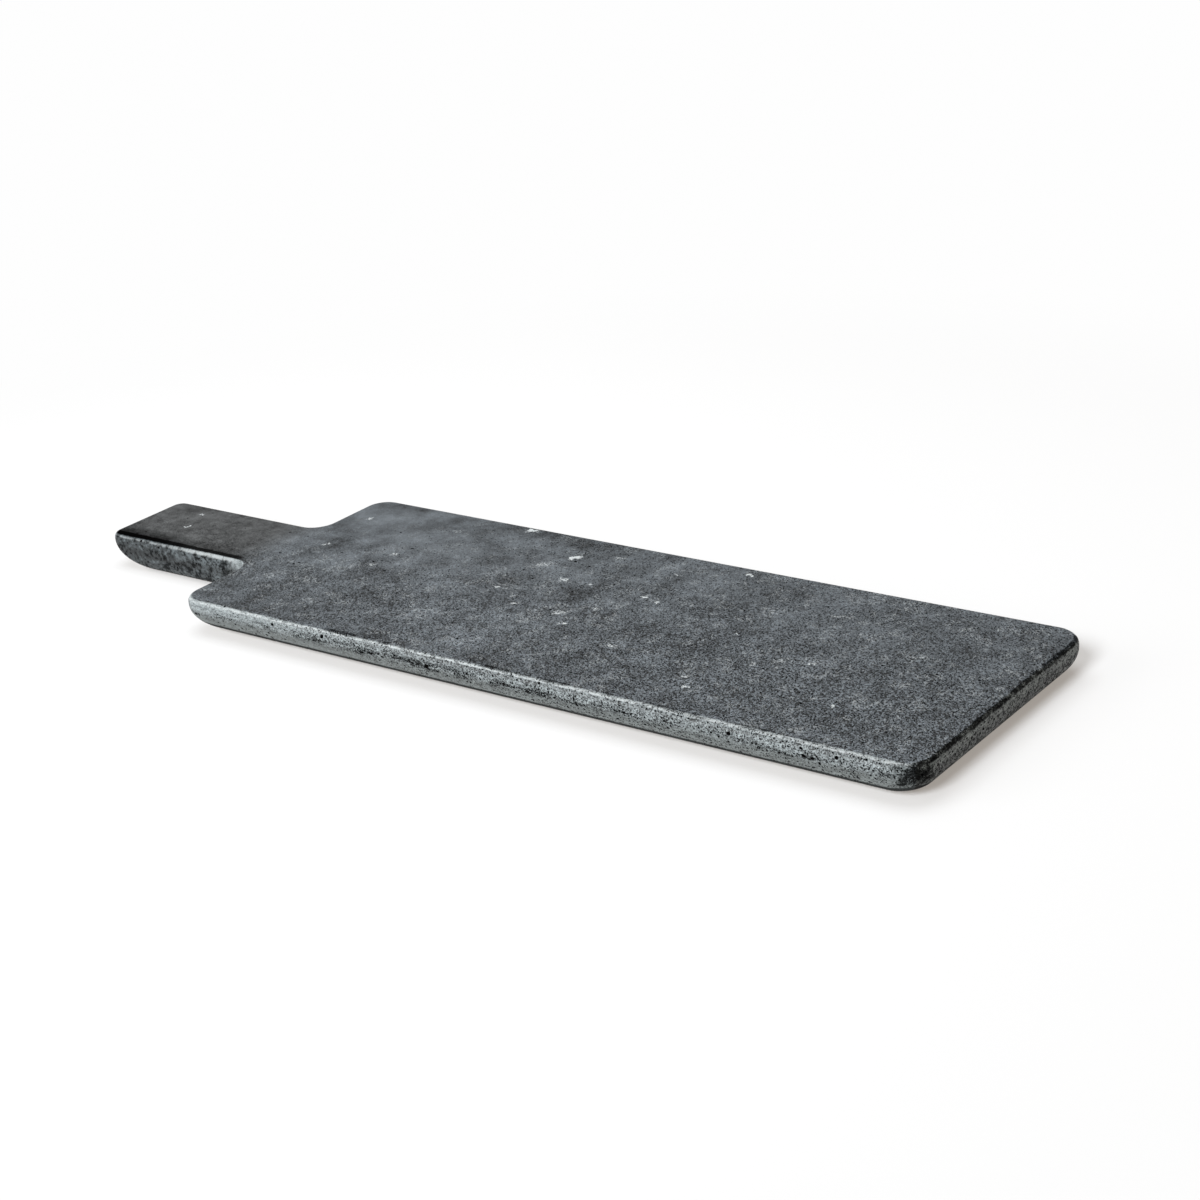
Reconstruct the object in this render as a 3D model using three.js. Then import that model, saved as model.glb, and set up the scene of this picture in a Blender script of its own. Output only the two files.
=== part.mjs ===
// A tapas board cut from one stone slab, with a short paddle handle, on four stick-on bumper feet.
// Millimetres, +Z up. The origin is on the table top, under the middle of the board's whole length.
// +X runs from the end of the handle to the far end of the body. Both sides of Y = 0 are alike.

import * as THREE from "three";

// Plan of the slab
const BODY_LENGTH = 400;
const BODY_WIDTH = 146;
const FAR_CORNER_RADIUS = 14;
const SHOULDER_CORNER_RADIUS = 11.5;
const HANDLE_LENGTH = 100;
const HANDLE_WIDTH = 51;
const HANDLE_CORNER_RADIUS = 6.5;
const NECK_FILLET_RADIUS = 9.5;

// Section of the slab: a small round along the top edge and a deep roll under the whole edge.
// The roll is equally high all round, and reaches inwards least under the handle's sides.
const SLAB_THICKNESS = 17.5;
const TOP_EDGE_RADIUS = 3;
const ROLL_HEIGHT = 13.5;
const BODY_ROLL_DEPTH = 15.5;
const HANDLE_SIDE_ROLL_DEPTH = 4.5;
const HANDLE_END_ROLL_DEPTH = 13;

// Corners of the flat underside, where the roll begins
const FAR_CORNER_UNDER_RADIUS = 8;
const SHOULDER_CORNER_UNDER_RADIUS = 12;
const HANDLE_CORNER_UNDER_RADIUS = 18;
const NECK_UNDER_RADIUS = 19;

// Bumper feet, each stuck to the underside with a film of adhesive
const FOOT_DIAMETER = 10;
const FOOT_HEIGHT = 1;
const FOOT_EDGE_RADIUS = 0.5;
const FOOT_CLEAR_OF_END_ROLL = 11.5;
const FOOT_CLEAR_OF_SIDE_ROLL = 4.5;
const ADHESIVE_THICKNESS = 0.2;

// Facets
const CORNER_STEPS = 12;
const ROLL_STEPS = 11;
const TOP_ROUND_STEPS = 5;
const FOOT_SEGMENTS = 40;
const FOOT_EDGE_STEPS = 5;

// Least sizes that keep a rounded wall whole when a neighbouring size is changed
const LEAST_CORNER_ARC = 0.3;
const LEAST_STRAIGHT_SIDE = 0.6;
const LEAST_FOOT_WALL = 0.2;

// Places that follow from the sizes
const QUARTER_TURN = Math.PI / 2;
const FAR_END_X = (BODY_LENGTH + HANDLE_LENGTH) / 2;
const SHOULDER_X = FAR_END_X - BODY_LENGTH;
const HANDLE_END_X = SHOULDER_X - HANDLE_LENGTH;
const UNDERSIDE_Z = FOOT_HEIGHT + ADHESIVE_THICKNESS;
const FOOT_FROM_END = BODY_ROLL_DEPTH + FOOT_CLEAR_OF_END_ROLL + FOOT_DIAMETER / 2;
const FOOT_FROM_SIDE = BODY_ROLL_DEPTH + FOOT_CLEAR_OF_SIDE_ROLL + FOOT_DIAMETER / 2;

// A round is limited by the thickness that it shares, and a corner of the handle by its width
const TOP_RADIUS = Math.min(TOP_EDGE_RADIUS, (SLAB_THICKNESS - LEAST_STRAIGHT_SIDE) / 2);
const ROLL_RISE = Math.min(ROLL_HEIGHT, SLAB_THICKNESS - TOP_RADIUS - LEAST_STRAIGHT_SIDE);
const HALF_HANDLE_UNDERSIDE = HANDLE_WIDTH / 2 - HANDLE_SIDE_ROLL_DEPTH;
const HANDLE_UNDER_RADIUS = Math.min(HANDLE_CORNER_UNDER_RADIUS, HALF_HANDLE_UNDERSIDE - LEAST_STRAIGHT_SIDE);

// Finishes
const STONE = new THREE.MeshStandardMaterial({ color: 0x5c6165, roughness: 0.5, metalness: 0 });
const FOOT_RUBBER = new THREE.MeshStandardMaterial({ color: 0x26282a, roughness: 0.7, metalness: 0 });

// An outer corner at the sharp point (x, y), on the side (outX, outY) of the slab.
// endDepth is the depth of the roll under the edge that runs across the slab and meets the corner,
// and sideDepth that of the roll under the edge that runs along it.
function outerCorner(x, y, outX, outY, shape) {
  const start = Math.atan2(outY, outX) - QUARTER_TURN / 2;
  return { x, y, inX: -outX, inY: -outY, bend: 1, start, ...shape };
}

function farCorner(outY) {
  return outerCorner(FAR_END_X, (outY * BODY_WIDTH) / 2, 1, outY, {
    radius: FAR_CORNER_RADIUS,
    underRadius: FAR_CORNER_UNDER_RADIUS,
    endDepth: BODY_ROLL_DEPTH,
    sideDepth: BODY_ROLL_DEPTH,
  });
}

function shoulderCorner(outY) {
  return outerCorner(SHOULDER_X, (outY * BODY_WIDTH) / 2, -1, outY, {
    radius: SHOULDER_CORNER_RADIUS,
    underRadius: SHOULDER_CORNER_UNDER_RADIUS,
    endDepth: BODY_ROLL_DEPTH,
    sideDepth: BODY_ROLL_DEPTH,
  });
}

function handleCorner(outY) {
  return outerCorner(HANDLE_END_X, (outY * HANDLE_WIDTH) / 2, -1, outY, {
    radius: HANDLE_CORNER_RADIUS,
    underRadius: HANDLE_UNDER_RADIUS,
    endDepth: HANDLE_END_ROLL_DEPTH,
    sideDepth: HANDLE_SIDE_ROLL_DEPTH,
  });
}

// The hollow corner between shoulder and handle, on the side of Y given by its sign.
function neckCorner(side) {
  return {
    x: SHOULDER_X,
    y: (side * HANDLE_WIDTH) / 2,
    inX: 1,
    inY: -side,
    bend: -1,
    start: side > 0 ? 0 : QUARTER_TURN,
    radius: NECK_FILLET_RADIUS,
    underRadius: NECK_UNDER_RADIUS,
    endDepth: BODY_ROLL_DEPTH,
    sideDepth: HANDLE_SIDE_ROLL_DEPTH,
  };
}

// The corners of the plan, counterclockwise from the far end's corner on the -Y side.
const PLAN_CORNERS = [
  farCorner(-1),
  farCorner(1),
  shoulderCorner(1),
  neckCorner(1),
  handleCorner(1),
  handleCorner(-1),
  neckCorner(-1),
  shoulderCorner(-1),
];

// One closed level ring round the slab. setBack gives, for a corner, how far its two edges lie inside
// the plan and the radius of the arc between them.
function slabRing(height, setBack) {
  const ring = [];
  for (const corner of PLAN_CORNERS) {
    const { end, side, radius } = setBack(corner);
    const centreX = corner.x + corner.inX * (end + corner.bend * radius);
    const centreY = corner.y + corner.inY * (side + corner.bend * radius);
    for (let step = 0; step <= CORNER_STEPS; step += 1) {
      const angle = corner.start + (corner.bend * QUARTER_TURN * step) / CORNER_STEPS;
      const x = centreX + radius * Math.cos(angle);
      const y = centreY + radius * Math.sin(angle);
      ring.push(new THREE.Vector3(x, y, height));
    }
  }
  return ring;
}

// A ring on the roll under the edge, where turn goes from 0 at the underside to a quarter turn at the top.
function rollRing(turn) {
  const share = 1 - Math.sin(turn);
  return slabRing(ROLL_RISE * (1 - Math.cos(turn)), (corner) => ({
    end: corner.endDepth * share,
    side: corner.sideDepth * share,
    radius: THREE.MathUtils.lerp(corner.radius, corner.underRadius, share),
  }));
}

// A ring on the round of the top edge, where turn goes from 0 at the side to a quarter turn on top.
function topRing(turn) {
  const inset = TOP_RADIUS * (1 - Math.cos(turn));
  return slabRing(SLAB_THICKNESS - TOP_RADIUS * (1 - Math.sin(turn)), (corner) => ({
    end: inset,
    side: inset,
    radius: Math.max(corner.radius - corner.bend * inset, LEAST_CORNER_ARC),
  }));
}

// The slab is a loft through rings, from the flat underside, up the roll and over the top edge.
function slabGeometry() {
  const rings = [];
  for (let step = 0; step <= ROLL_STEPS; step += 1) {
    rings.push(rollRing((QUARTER_TURN * step) / ROLL_STEPS));
  }
  for (let step = 0; step <= TOP_ROUND_STEPS; step += 1) {
    rings.push(topRing((QUARTER_TURN * step) / TOP_ROUND_STEPS));
  }

  const ringSize = rings[0].length;
  const triangles = [];
  for (let level = 0; level + 1 < rings.length; level += 1) {
    for (let place = 0; place < ringSize; place += 1) {
      const next = (place + 1) % ringSize;
      const low = level * ringSize;
      const high = low + ringSize;
      triangles.push(low + place, low + next, high + next);
      triangles.push(low + place, high + next, high + place);
    }
  }

  const topStart = (rings.length - 1) * ringSize;
  for (const [a, b, c] of flatFace(rings[0])) triangles.push(c, b, a);
  for (const [a, b, c] of flatFace(rings.at(-1))) triangles.push(topStart + a, topStart + b, topStart + c);

  const geometry = new THREE.BufferGeometry().setFromPoints(rings.flat());
  geometry.setIndex(triangles);
  geometry.computeVertexNormals();
  return geometry;
}

// Triangles across a level ring, counterclockwise from above.
function flatFace(ring) {
  return THREE.ShapeUtils.triangulateShape(ring.map((point) => new THREE.Vector2(point.x, point.y)), []);
}

// A foot is turned: a flat contact face, a rounded edge and a flat face for the adhesive.
function footGeometry() {
  const radius = FOOT_DIAMETER / 2;
  const edge = Math.min(FOOT_EDGE_RADIUS, FOOT_HEIGHT - LEAST_FOOT_WALL, radius - LEAST_FOOT_WALL);
  const profile = [new THREE.Vector2(0, 0)];
  for (let step = 0; step <= FOOT_EDGE_STEPS; step += 1) {
    const turn = (QUARTER_TURN * step) / FOOT_EDGE_STEPS;
    profile.push(new THREE.Vector2(radius - edge * (1 - Math.sin(turn)), edge * (1 - Math.cos(turn))));
  }
  profile.push(new THREE.Vector2(radius, FOOT_HEIGHT));
  profile.push(new THREE.Vector2(0, FOOT_HEIGHT));
  return new THREE.LatheGeometry(profile, FOOT_SEGMENTS).rotateX(QUARTER_TURN);
}

function makeSlab() {
  const slab = new THREE.Mesh(slabGeometry(), STONE);
  slab.name = "slab";
  slab.position.z = UNDERSIDE_Z;
  return slab;
}

// Four feet, near the corners of the body. Front is the -Y side and left is the handle's side.
function makeFeet() {
  const feet = [];
  for (const [sideName, side] of [["front", -1], ["back", 1]]) {
    for (const [endName, x] of [
      ["left", SHOULDER_X + FOOT_FROM_END],
      ["right", FAR_END_X - FOOT_FROM_END],
    ]) {
      const foot = new THREE.Mesh(footGeometry(), FOOT_RUBBER);
      foot.name = `foot_${sideName}_${endName}`;
      foot.position.set(x, side * (BODY_WIDTH / 2 - FOOT_FROM_SIDE), 0);
      feet.push(foot);
    }
  }
  return feet;
}

const board = new THREE.Group();
board.name = "tapas_board";
board.add(makeSlab(), ...makeFeet());

export default board;
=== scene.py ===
"""The looks of a tapas board: one dark stone slab with a paddle handle, on four stick-on rubber feet."""

import math
import random

import bmesh
import bpy
from mathutils import Euler, Matrix, Vector
from mathutils.bvhtree import BVHTree


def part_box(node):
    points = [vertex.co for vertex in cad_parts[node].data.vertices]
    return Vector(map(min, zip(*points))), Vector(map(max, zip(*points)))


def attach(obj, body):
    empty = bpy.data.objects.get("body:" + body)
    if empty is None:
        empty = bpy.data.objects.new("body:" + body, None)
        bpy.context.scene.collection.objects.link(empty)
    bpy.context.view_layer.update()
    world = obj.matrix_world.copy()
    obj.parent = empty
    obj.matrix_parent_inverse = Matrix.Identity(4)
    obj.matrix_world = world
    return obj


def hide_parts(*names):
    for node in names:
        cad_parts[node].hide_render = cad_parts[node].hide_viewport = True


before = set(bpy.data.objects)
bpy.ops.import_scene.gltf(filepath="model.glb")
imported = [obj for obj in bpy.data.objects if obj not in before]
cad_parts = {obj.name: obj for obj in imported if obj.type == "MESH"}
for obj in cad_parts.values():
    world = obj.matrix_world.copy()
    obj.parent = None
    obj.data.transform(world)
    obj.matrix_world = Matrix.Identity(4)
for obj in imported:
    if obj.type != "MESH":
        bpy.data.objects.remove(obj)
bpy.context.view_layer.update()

MM = 0.001

# Places of the slab, from its CAD mesh in model.glb
SLAB_LOW, SLAB_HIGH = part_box("slab")
HANDLE_END_X = SLAB_LOW[0]
FAR_END_X = SLAB_HIGH[0]
HALF_BODY = SLAB_HIGH[1]
UNDERSIDE_Z = SLAB_LOW[2]
TOP_Z = SLAB_HIGH[2]
THICKNESS = TOP_Z - UNDERSIDE_Z

# Plan of the slab, as in the part's source
HANDLE_LENGTH = 100 * MM
HALF_HANDLE = 25.5 * MM
SHOULDER_X = HANDLE_END_X + HANDLE_LENGTH

# Section of the slab: a small round along the top edge, and a deep roll under the whole edge
TOP_ROUND = 3 * MM
ROLL_HEIGHT = 13.5 * MM
BODY_ROLL_DEPTH = 15.5 * MM
HANDLE_SIDE_ROLL_DEPTH = 4.5 * MM
HANDLE_END_ROLL_DEPTH = 13 * MM

# Radii of the plan's corners, at the top of the roll and at the underside
CORNER_RADII = {
    "far": (14 * MM, 8 * MM),
    "shoulder": (11.5 * MM, 12 * MM),
    "neck": (9.5 * MM, 19 * MM),
    "handle": (6.5 * MM, 18 * MM),
}

# Steps of the slab's rounds, and the step along its straight edges
CORNER_STEPS = 12
TOP_ROUND_STEPS = 9
ROLL_STEPS = 16
EDGE_STEP = 3.2 * MM
LEAST_STRAIGHT = 4 * MM
FLAT_RIM = 0.8 * MM

# What counts as the same place, as a straight line and as a sharp edge
NEAR = 0.01 * MM
STRAIGHT_ANGLE = math.radians(1)
SHARP_ANGLE = math.radians(32)

QUARTER_TURN = math.pi / 2


# Modelling

def select_only(piece, kind, wanted):
    """In edit mode, select only the vertices, edges or faces that pass the test."""
    bpy.ops.mesh.select_mode(type=kind)
    bpy.ops.mesh.select_all(action="DESELECT")
    mesh = bmesh.from_edit_mesh(piece.data)
    elements = {"VERT": mesh.verts, "EDGE": mesh.edges, "FACE": mesh.faces}[kind]
    for element in elements:
        if wanted(element):
            element.select_set(True)
    bmesh.update_edit_mesh(piece.data)


def add_piece(name, add_primitive, **settings):
    """Add a primitive with nothing else selected, and go into edit mode on it."""
    bpy.ops.object.select_all(action="DESELECT")
    add_primitive(**settings)
    piece = bpy.context.object
    piece.name = name
    piece.data.name = name
    bpy.ops.object.mode_set(mode="EDIT")
    return piece


def leave_edit_mode():
    bpy.ops.object.mode_set(mode="OBJECT")


def edge_at_height(height):
    return lambda edge: all(abs(vertex.co.z - height) < NEAR for vertex in edge.verts)


def blend_sizes(first, second, share):
    return first + (second - first) * share


def round_corners(ring, corners, radius):
    """Round the outline's corners that lie at these points."""
    points = [Vector((x, y, 0)) for x, y in corners]
    select_only(ring, "VERT", lambda vertex: any((vertex.co - point).length < NEAR for point in points))
    bpy.ops.mesh.bevel(
        offset_type="OFFSET", offset=radius, segments=CORNER_STEPS, profile=0.5, affect="VERTICES",
        clamp_overlap=False,
    )


def draw_ring(height, body_inset, side_inset, end_inset, radii):
    """The outline of body and handle at one height, drawn as a flat face of which only the rim is kept.

    The insets are those of the body, of the handle's sides and of the handle's end.
    """
    far_x = FAR_END_X - body_inset
    shoulder_x = SHOULDER_X + body_inset
    handle_x = HANDLE_END_X + end_inset
    half_body = HALF_BODY - body_inset
    half_handle = HALF_HANDLE - side_inset

    ring = add_piece("outline", bpy.ops.mesh.primitive_plane_add, size=1)
    bpy.ops.mesh.select_all(action="SELECT")
    bpy.ops.transform.resize(value=(far_x - shoulder_x, 2 * half_body, 1))
    bpy.ops.transform.translate(value=((far_x + shoulder_x) / 2, 0, 0))
    for y in (-half_handle, half_handle):
        bpy.ops.mesh.select_all(action="SELECT")
        bpy.ops.mesh.bisect(plane_co=(0, y, 0), plane_no=(0, 1, 0))

    def at_handle(edge):
        ends = [vertex.co for vertex in edge.verts]
        return all(abs(end.x - shoulder_x) < NEAR and abs(end.y) < half_handle + NEAR for end in ends)

    select_only(ring, "EDGE", at_handle)
    bpy.ops.mesh.extrude_region_move(TRANSFORM_OT_translate={"value": (handle_x - shoulder_x, 0, 0)})
    bpy.ops.mesh.select_all(action="SELECT")
    bpy.ops.mesh.dissolve_limited(angle_limit=STRAIGHT_ANGLE)
    for name, x, y in (
        ("far", far_x, half_body), ("shoulder", shoulder_x, half_body), ("neck", shoulder_x, half_handle),
        ("handle", handle_x, half_handle),
    ):
        round_corners(ring, [(x, -y), (x, y)], radii[name])

    bpy.ops.mesh.select_all(action="SELECT")
    bpy.ops.transform.translate(value=(0, 0, height))
    bpy.ops.mesh.delete(type="ONLY_FACE")
    leave_edit_mode()
    return ring


def draw_roll_ring(turn):
    """A ring on the roll under the edge, with turn from 0 at the underside to a quarter turn at the top."""
    share = 1 - math.sin(turn)
    radii = {name: blend_sizes(*sizes, share) for name, sizes in CORNER_RADII.items()}
    height = UNDERSIDE_Z + ROLL_HEIGHT * (1 - math.cos(turn))
    depths = (BODY_ROLL_DEPTH, HANDLE_SIDE_ROLL_DEPTH, HANDLE_END_ROLL_DEPTH)
    return draw_ring(height, *[depth * share for depth in depths], radii)


def draw_top_ring(turn):
    """A ring on the round of the top edge, with turn from 0 at the side to a quarter turn on top."""
    inset = TOP_ROUND * (1 - math.cos(turn))
    radii = {name: sizes[0] + (inset if name == "neck" else -inset) for name, sizes in CORNER_RADII.items()}
    return draw_ring(TOP_Z - TOP_ROUND * (1 - math.sin(turn)), inset, inset, inset, radii)


def cut_straight_edges(slab):
    """Cut the straight stretches into short steps, as many in each ring of a stretch."""
    def stretch(edge):
        """Which straight stretch an edge belongs to: its direction, side and end."""
        start, end = (vertex.co for vertex in edge.verts)
        middle = (start + end) / 2
        lies_along = abs(end.x - start.x) > abs(end.y - start.y)
        half = HALF_HANDLE if middle.x < SHOULDER_X else HALF_BODY
        return lies_along, half, middle.x > 0, middle.x < SHOULDER_X - HANDLE_LENGTH / 2

    mesh = bmesh.from_edit_mesh(slab.data)
    longest = {}
    for edge in mesh.edges:
        if edge.calc_length() > LEAST_STRAIGHT:
            key = stretch(edge)
            longest[key] = max(longest.get(key, 0), edge.calc_length())
    for key, length in longest.items():
        select_only(slab, "EDGE", lambda edge: edge.calc_length() > LEAST_STRAIGHT and stretch(edge) == key)
        bpy.ops.mesh.subdivide(number_cuts=math.ceil(length / EDGE_STEP))


def make_slab():
    """A loft through rings, from the flat underside, up the roll and over the top edge."""
    rings = [draw_roll_ring(QUARTER_TURN * step / ROLL_STEPS) for step in range(ROLL_STEPS + 1)]
    rings += [draw_top_ring(QUARTER_TURN * step / TOP_ROUND_STEPS) for step in range(TOP_ROUND_STEPS + 1)]
    bpy.ops.object.select_all(action="DESELECT")
    for ring in rings:
        ring.select_set(True)
    slab = rings[0]
    bpy.context.view_layer.objects.active = slab
    bpy.ops.object.join()
    slab.name = "stone_slab"
    slab.data.name = "stone_slab"
    bpy.ops.object.mode_set(mode="EDIT")
    bpy.ops.mesh.select_mode(type="EDGE")
    bpy.ops.mesh.select_all(action="SELECT")
    bpy.ops.mesh.bridge_edge_loops()
    cut_straight_edges(slab)
    for height in (UNDERSIDE_Z, TOP_Z):
        select_only(slab, "EDGE", edge_at_height(height))
        bpy.ops.mesh.edge_face_add()
    bpy.ops.mesh.select_all(action="SELECT")
    bpy.ops.mesh.normals_make_consistent(inside=False)
    leave_edit_mode()
    return slab


# Open pits of the stone and nicks of its rim, cut into the slab

PIT_SEED = 41
LOOSE_EDGE_PITS = 700
CLUSTERS = 150
PITS_IN_CLUSTER = (6, 22)
CLUSTER_LENGTH = 6 * MM
CLUSTER_HEIGHT = 1.5 * MM
TOP_PITS = 420
UNDERSIDE_PITS = 120
RIM_NICKS = 70

# Half sizes of pits and nicks. The higher the rarity, the fewer of them are large.
LEAST_PIT = 0.28 * MM
LARGEST_PIT = 0.95 * MM
CLUSTER_PIT_RARITY = 3
LOOSE_PIT_RARITY = 4
LEAST_NICK = 0.3 * MM
NICK_RANGE = 0.6 * MM
NICK_RARITY = 2

# Half lengths of a pit along the surface, across it and inwards, as shares of its half size, and the
# spread of its turn. On a flat whose normal leans less than this, pits lie along X.
PIT_SHARES = [(0.8, 1.3), (0.6, 0.9), (0.7, 1.1)]
PIT_TURN = 0.5
LEAST_LEAN = 0.3

# Pits keep this far apart, beyond this many times their half sizes. Only those in the cells of this size
# round a pit are looked at.
PIT_SPACING = 0.2 * MM
PIT_REACH = 1.2
PIT_CELL = 4 * LARGEST_PIT

# Middle and width of the bands of the edge that hold pits and nicks, as shares of the thickness
CLUSTER_BAND = (0.6, 0.14)
LOOSE_PIT_BAND = (0.62, 0.3)
NICK_BAND = (0.97, 0.05)

# Limits of the upward part of the normal, on the edge and on the round of the top edge
EDGE_FACING = (-0.9, 0.9)
RIM_FACING = (0.3, 0.95)

# How much the top's pits crowd towards -Y and the far end, and how fast they grow fewer away from there
TOP_PIT_LEAN = 0.97
LEAN_SLOPE = 0.35

# Between these places along X the edge goes from smooth to pitted, with this share of the pits before them
SMOOTH_UNTIL_X = -110 * MM
PITTED_FROM_X = -25 * MM
SMOOTH_SHARE = 0.3

# The largest pits of the front edge, read from the photo: x, height over the table and half size, in
# millimetres. Each goes to the point of the slab nearest to a place this far in front of the edge.
LARGE_PITS = [
    (-88, 16.4, 1.2),
    (-57, 16.2, 1.3),
    (5, 12.5, 1.4),
    (164, 15.6, 1.3),
    (199, 13.4, 1.4),
    (203, 13.0, 0.9),
    (214, 16.8, 1.2),
]
BEFORE_EDGE = 5 * MM


def point_on_face(mesh, face, draw):
    """A point drawn at random inside one of the face's triangles, next to its first corner."""
    corners = [mesh.vertices[index].co for index in face.vertices]
    start = corners[0]
    index = draw.randrange(1, len(corners) - 1)
    along, across = draw.random(), draw.random()
    if along + across > 1:
        along, across = 1 - along, 1 - across
    return start + (corners[index] - start) * along + (corners[index + 1] - start) * across


def band_weight(middle, width):
    """Weighs a face of the edge by its area, by how near it lies to a band and by how pitted it is there."""
    def weigh(face):
        height = (face.center.z - UNDERSIDE_Z) / THICKNESS
        pitted = (face.center.x - SMOOTH_UNTIL_X) / (PITTED_FROM_X - SMOOTH_UNTIL_X)
        share = blend_sizes(SMOOTH_SHARE, 1, min(max(pitted, 0), 1))
        return face.area * share * math.exp(-((height - middle) / width) ** 2)
    return weigh


def draw_faces(faces, weigh, count, draw):
    return draw.choices(faces, weights=[weigh(face) for face in faces], k=count)


def loft_faces(slab, least, largest):
    """The four-sided faces of which the upward part of the normal lies between two limits."""
    faces = [face for face in slab.data.polygons if len(face.vertices) == 4]
    return [face for face in faces if least < face.normal.z < largest]


def draw_pit_size(draw, rarity):
    return blend_sizes(LEAST_PIT, LARGEST_PIT, draw.random() ** rarity)


def draw_edge_pits(slab, surface, draw):
    """Pits in streaky clusters a little above half the height of the edge, and loose ones over all of it."""
    faces = loft_faces(slab, *EDGE_FACING)
    places = []
    for face in draw_faces(faces, band_weight(*CLUSTER_BAND), CLUSTERS, draw):
        along = Vector((0, 0, 1)).cross(face.normal).normalized()
        for _ in range(draw.randint(*PITS_IN_CLUSTER)):
            reach = along * draw.gauss(0, CLUSTER_LENGTH) + Vector((0, 0, draw.gauss(0, CLUSTER_HEIGHT)))
            point, normal, _, _ = surface.find_nearest(face.center + reach)
            places.append((point, normal, draw_pit_size(draw, CLUSTER_PIT_RARITY)))
    for face in draw_faces(faces, band_weight(*LOOSE_PIT_BAND), LOOSE_EDGE_PITS, draw):
        point = point_on_face(slab.data, face, draw)
        places.append((point, face.normal.copy(), draw_pit_size(draw, LOOSE_PIT_RARITY)))
    return places


def draw_rim_nicks(slab, draw):
    """Small chips along the round of the top edge."""
    faces = loft_faces(slab, *RIM_FACING)
    places = []
    for face in draw_faces(faces, band_weight(*NICK_BAND), RIM_NICKS, draw):
        point = point_on_face(slab.data, face, draw)
        places.append((point, face.normal.copy(), LEAST_NICK + NICK_RANGE * draw.random() ** NICK_RARITY))
    return places


def inside_flat(x, y):
    """True on the flat of the slab, clear of its rounds."""
    margin = TOP_ROUND + FLAT_RIM
    on_body = SHOULDER_X + margin < x < FAR_END_X - margin and abs(y) < HALF_BODY - margin
    on_handle = HANDLE_END_X + margin < x < SHOULDER_X + 2 * margin and abs(y) < HALF_HANDLE - margin
    return on_body or on_handle


def draw_flat_pits(count, height, normal, draw, lean):
    """Pits on the top or the underside. lean from 0 to 1 crowds them towards -Y and the far end."""
    places = []
    while len(places) < count:
        x = draw.uniform(HANDLE_END_X, FAR_END_X)
        y = draw.uniform(-HALF_BODY, HALF_BODY)
        share = 0.5 - LEAN_SLOPE * y / HALF_BODY + LEAN_SLOPE * x / FAR_END_X
        if inside_flat(x, y) and draw.random() < 1 - lean + lean * share:
            places.append((Vector((x, y, height)), Vector(normal), draw_pit_size(draw, LOOSE_PIT_RARITY)))
    return places


def large_pits(surface):
    places = []
    for x, height, size in LARGE_PITS:
        before = Vector((x * MM, -HALF_BODY - BEFORE_EDGE, height * MM))
        point, normal, _, _ = surface.find_nearest(before)
        places.append((point, normal, size * MM))
    return places


def kept_apart(places):
    """Leave out a pit that would run into an earlier one."""
    kept = []
    grid = {}
    for point, normal, size in places:
        key = tuple(math.floor(part / PIT_CELL) for part in point)
        around = [
            other for i in (-1, 0, 1) for j in (-1, 0, 1) for k in (-1, 0, 1)
            for other in grid.get((key[0] + i, key[1] + j, key[2] + k), ())
        ]
        gaps = [(point - other).length - PIT_REACH * (size + other_size) for other, other_size in around]
        if all(gap > PIT_SPACING for gap in gaps):
            kept.append((point, normal, size))
            grid.setdefault(key, []).append((point, size))
    return kept


def make_pit_cutters(slab):
    """Small squashed stones, one at each pit, joined into one mesh."""
    draw = random.Random(PIT_SEED)
    shape = bmesh.new()
    shape.from_mesh(slab.data)
    surface = BVHTree.FromBMesh(shape)
    shape.free()
    places = large_pits(surface)
    places += draw_edge_pits(slab, surface, draw)
    places += draw_rim_nicks(slab, draw)
    places += draw_flat_pits(TOP_PITS, TOP_Z, (0, 0, 1), draw, TOP_PIT_LEAN)
    places += draw_flat_pits(UNDERSIDE_PITS, UNDERSIDE_Z, (0, 0, -1), draw, 0)
    pattern = add_piece("pit_pattern", bpy.ops.mesh.primitive_ico_sphere_add, subdivisions=1, radius=1)
    leave_edit_mode()
    bpy.ops.object.select_all(action="DESELECT")
    for point, normal, size in kept_apart(places):
        cutter = pattern.copy()
        cutter.data = pattern.data.copy()
        bpy.context.collection.objects.link(cutter)
        along = Vector((0, 0, 1)).cross(normal)
        along = along.normalized() if along.length > LEAST_LEAN else Vector((1, 0, 0))
        across = normal.cross(along)
        facing = Matrix((along, across, normal)).transposed()
        turn = Euler((0, 0, draw.gauss(0, PIT_TURN))).to_matrix()
        lengths = [draw.uniform(*limits) for limits in PIT_SHARES]
        stretch = Matrix.Diagonal(Vector(lengths) * size)
        cutter.matrix_world = Matrix.Translation(point) @ (facing @ turn @ stretch).to_4x4()
        cutter.select_set(True)
        bpy.context.view_layer.objects.active = cutter
    bpy.data.objects.remove(pattern)
    bpy.ops.object.join()
    return bpy.context.object


def cut_pits(slab, stone, pit):
    """Cut the pits out of the slab. Their walls get the second material."""
    cutters = make_pit_cutters(slab)
    for piece in (slab, cutters):
        piece.data.materials.clear()
        piece.data.materials.append(stone)
        piece.data.materials.append(pit)
    for face in cutters.data.polygons:
        face.material_index = 1
    bpy.ops.object.select_all(action="DESELECT")
    slab.select_set(True)
    bpy.context.view_layer.objects.active = slab
    cut = slab.modifiers.new("pits", "BOOLEAN")
    cut.operation = "DIFFERENCE"
    cut.solver = "MANIFOLD"
    cut.object = cutters
    bpy.ops.object.modifier_apply(modifier=cut.name)
    bpy.data.objects.remove(cutters)
    bpy.ops.object.shade_smooth_by_angle(angle=SHARP_ANGLE)


# Feet

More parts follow.
